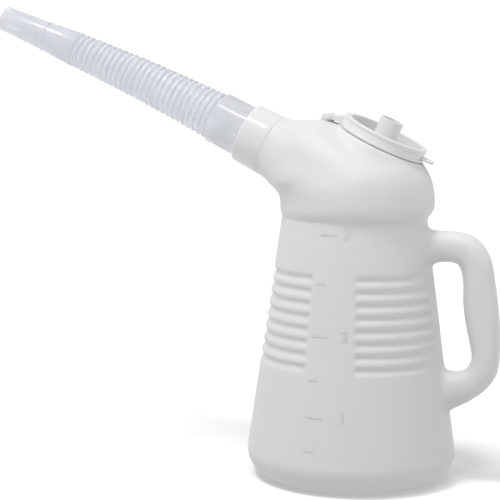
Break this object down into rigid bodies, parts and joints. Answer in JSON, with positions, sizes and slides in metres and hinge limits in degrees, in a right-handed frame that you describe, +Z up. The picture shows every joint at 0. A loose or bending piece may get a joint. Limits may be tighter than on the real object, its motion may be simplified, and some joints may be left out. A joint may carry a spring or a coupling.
{
  "type": "oil jug",
  "caption": "Tapered blow-moulded oil jug with a hollow side handle, a hinged dished lid and a flexible corrugated pouring spout.",
  "frame": {"origin": "on the jug's axis in the plane of its foot", "axes": "+Z up along the jug's axis, +X to the handle, the spout rises towards -X, the scale is on the -Y side"},
  "size_m": [0.4206, 0.164, 0.3687],
  "materials": {
    "natural_plastic": "satin, slightly see-through natural polyethylene",
    "lid_plastic": "smooth moulded natural plastic",
    "packing_rubber": "soft matt rubber",
    "hose_plastic": "glossy see-through plastic"
  },
  "bodies": {
    "jug": {"jug_body": "natural_plastic", "spout_collar": "lid_plastic", "spout_packing": "packing_rubber", "spout_hose": "hose_plastic"},
    "lid": {"lid": "lid_plastic", "hinge_pin": "lid_plastic"}
  },
  "joints": [
    {"name": "lid_hinge", "type": "hinge", "parent": "jug", "child": "lid", "pos_m": [-0.0205, 0, 0.28313], "axis": [0, -1, 0], "range_deg": [0, 130]}
  ]
}
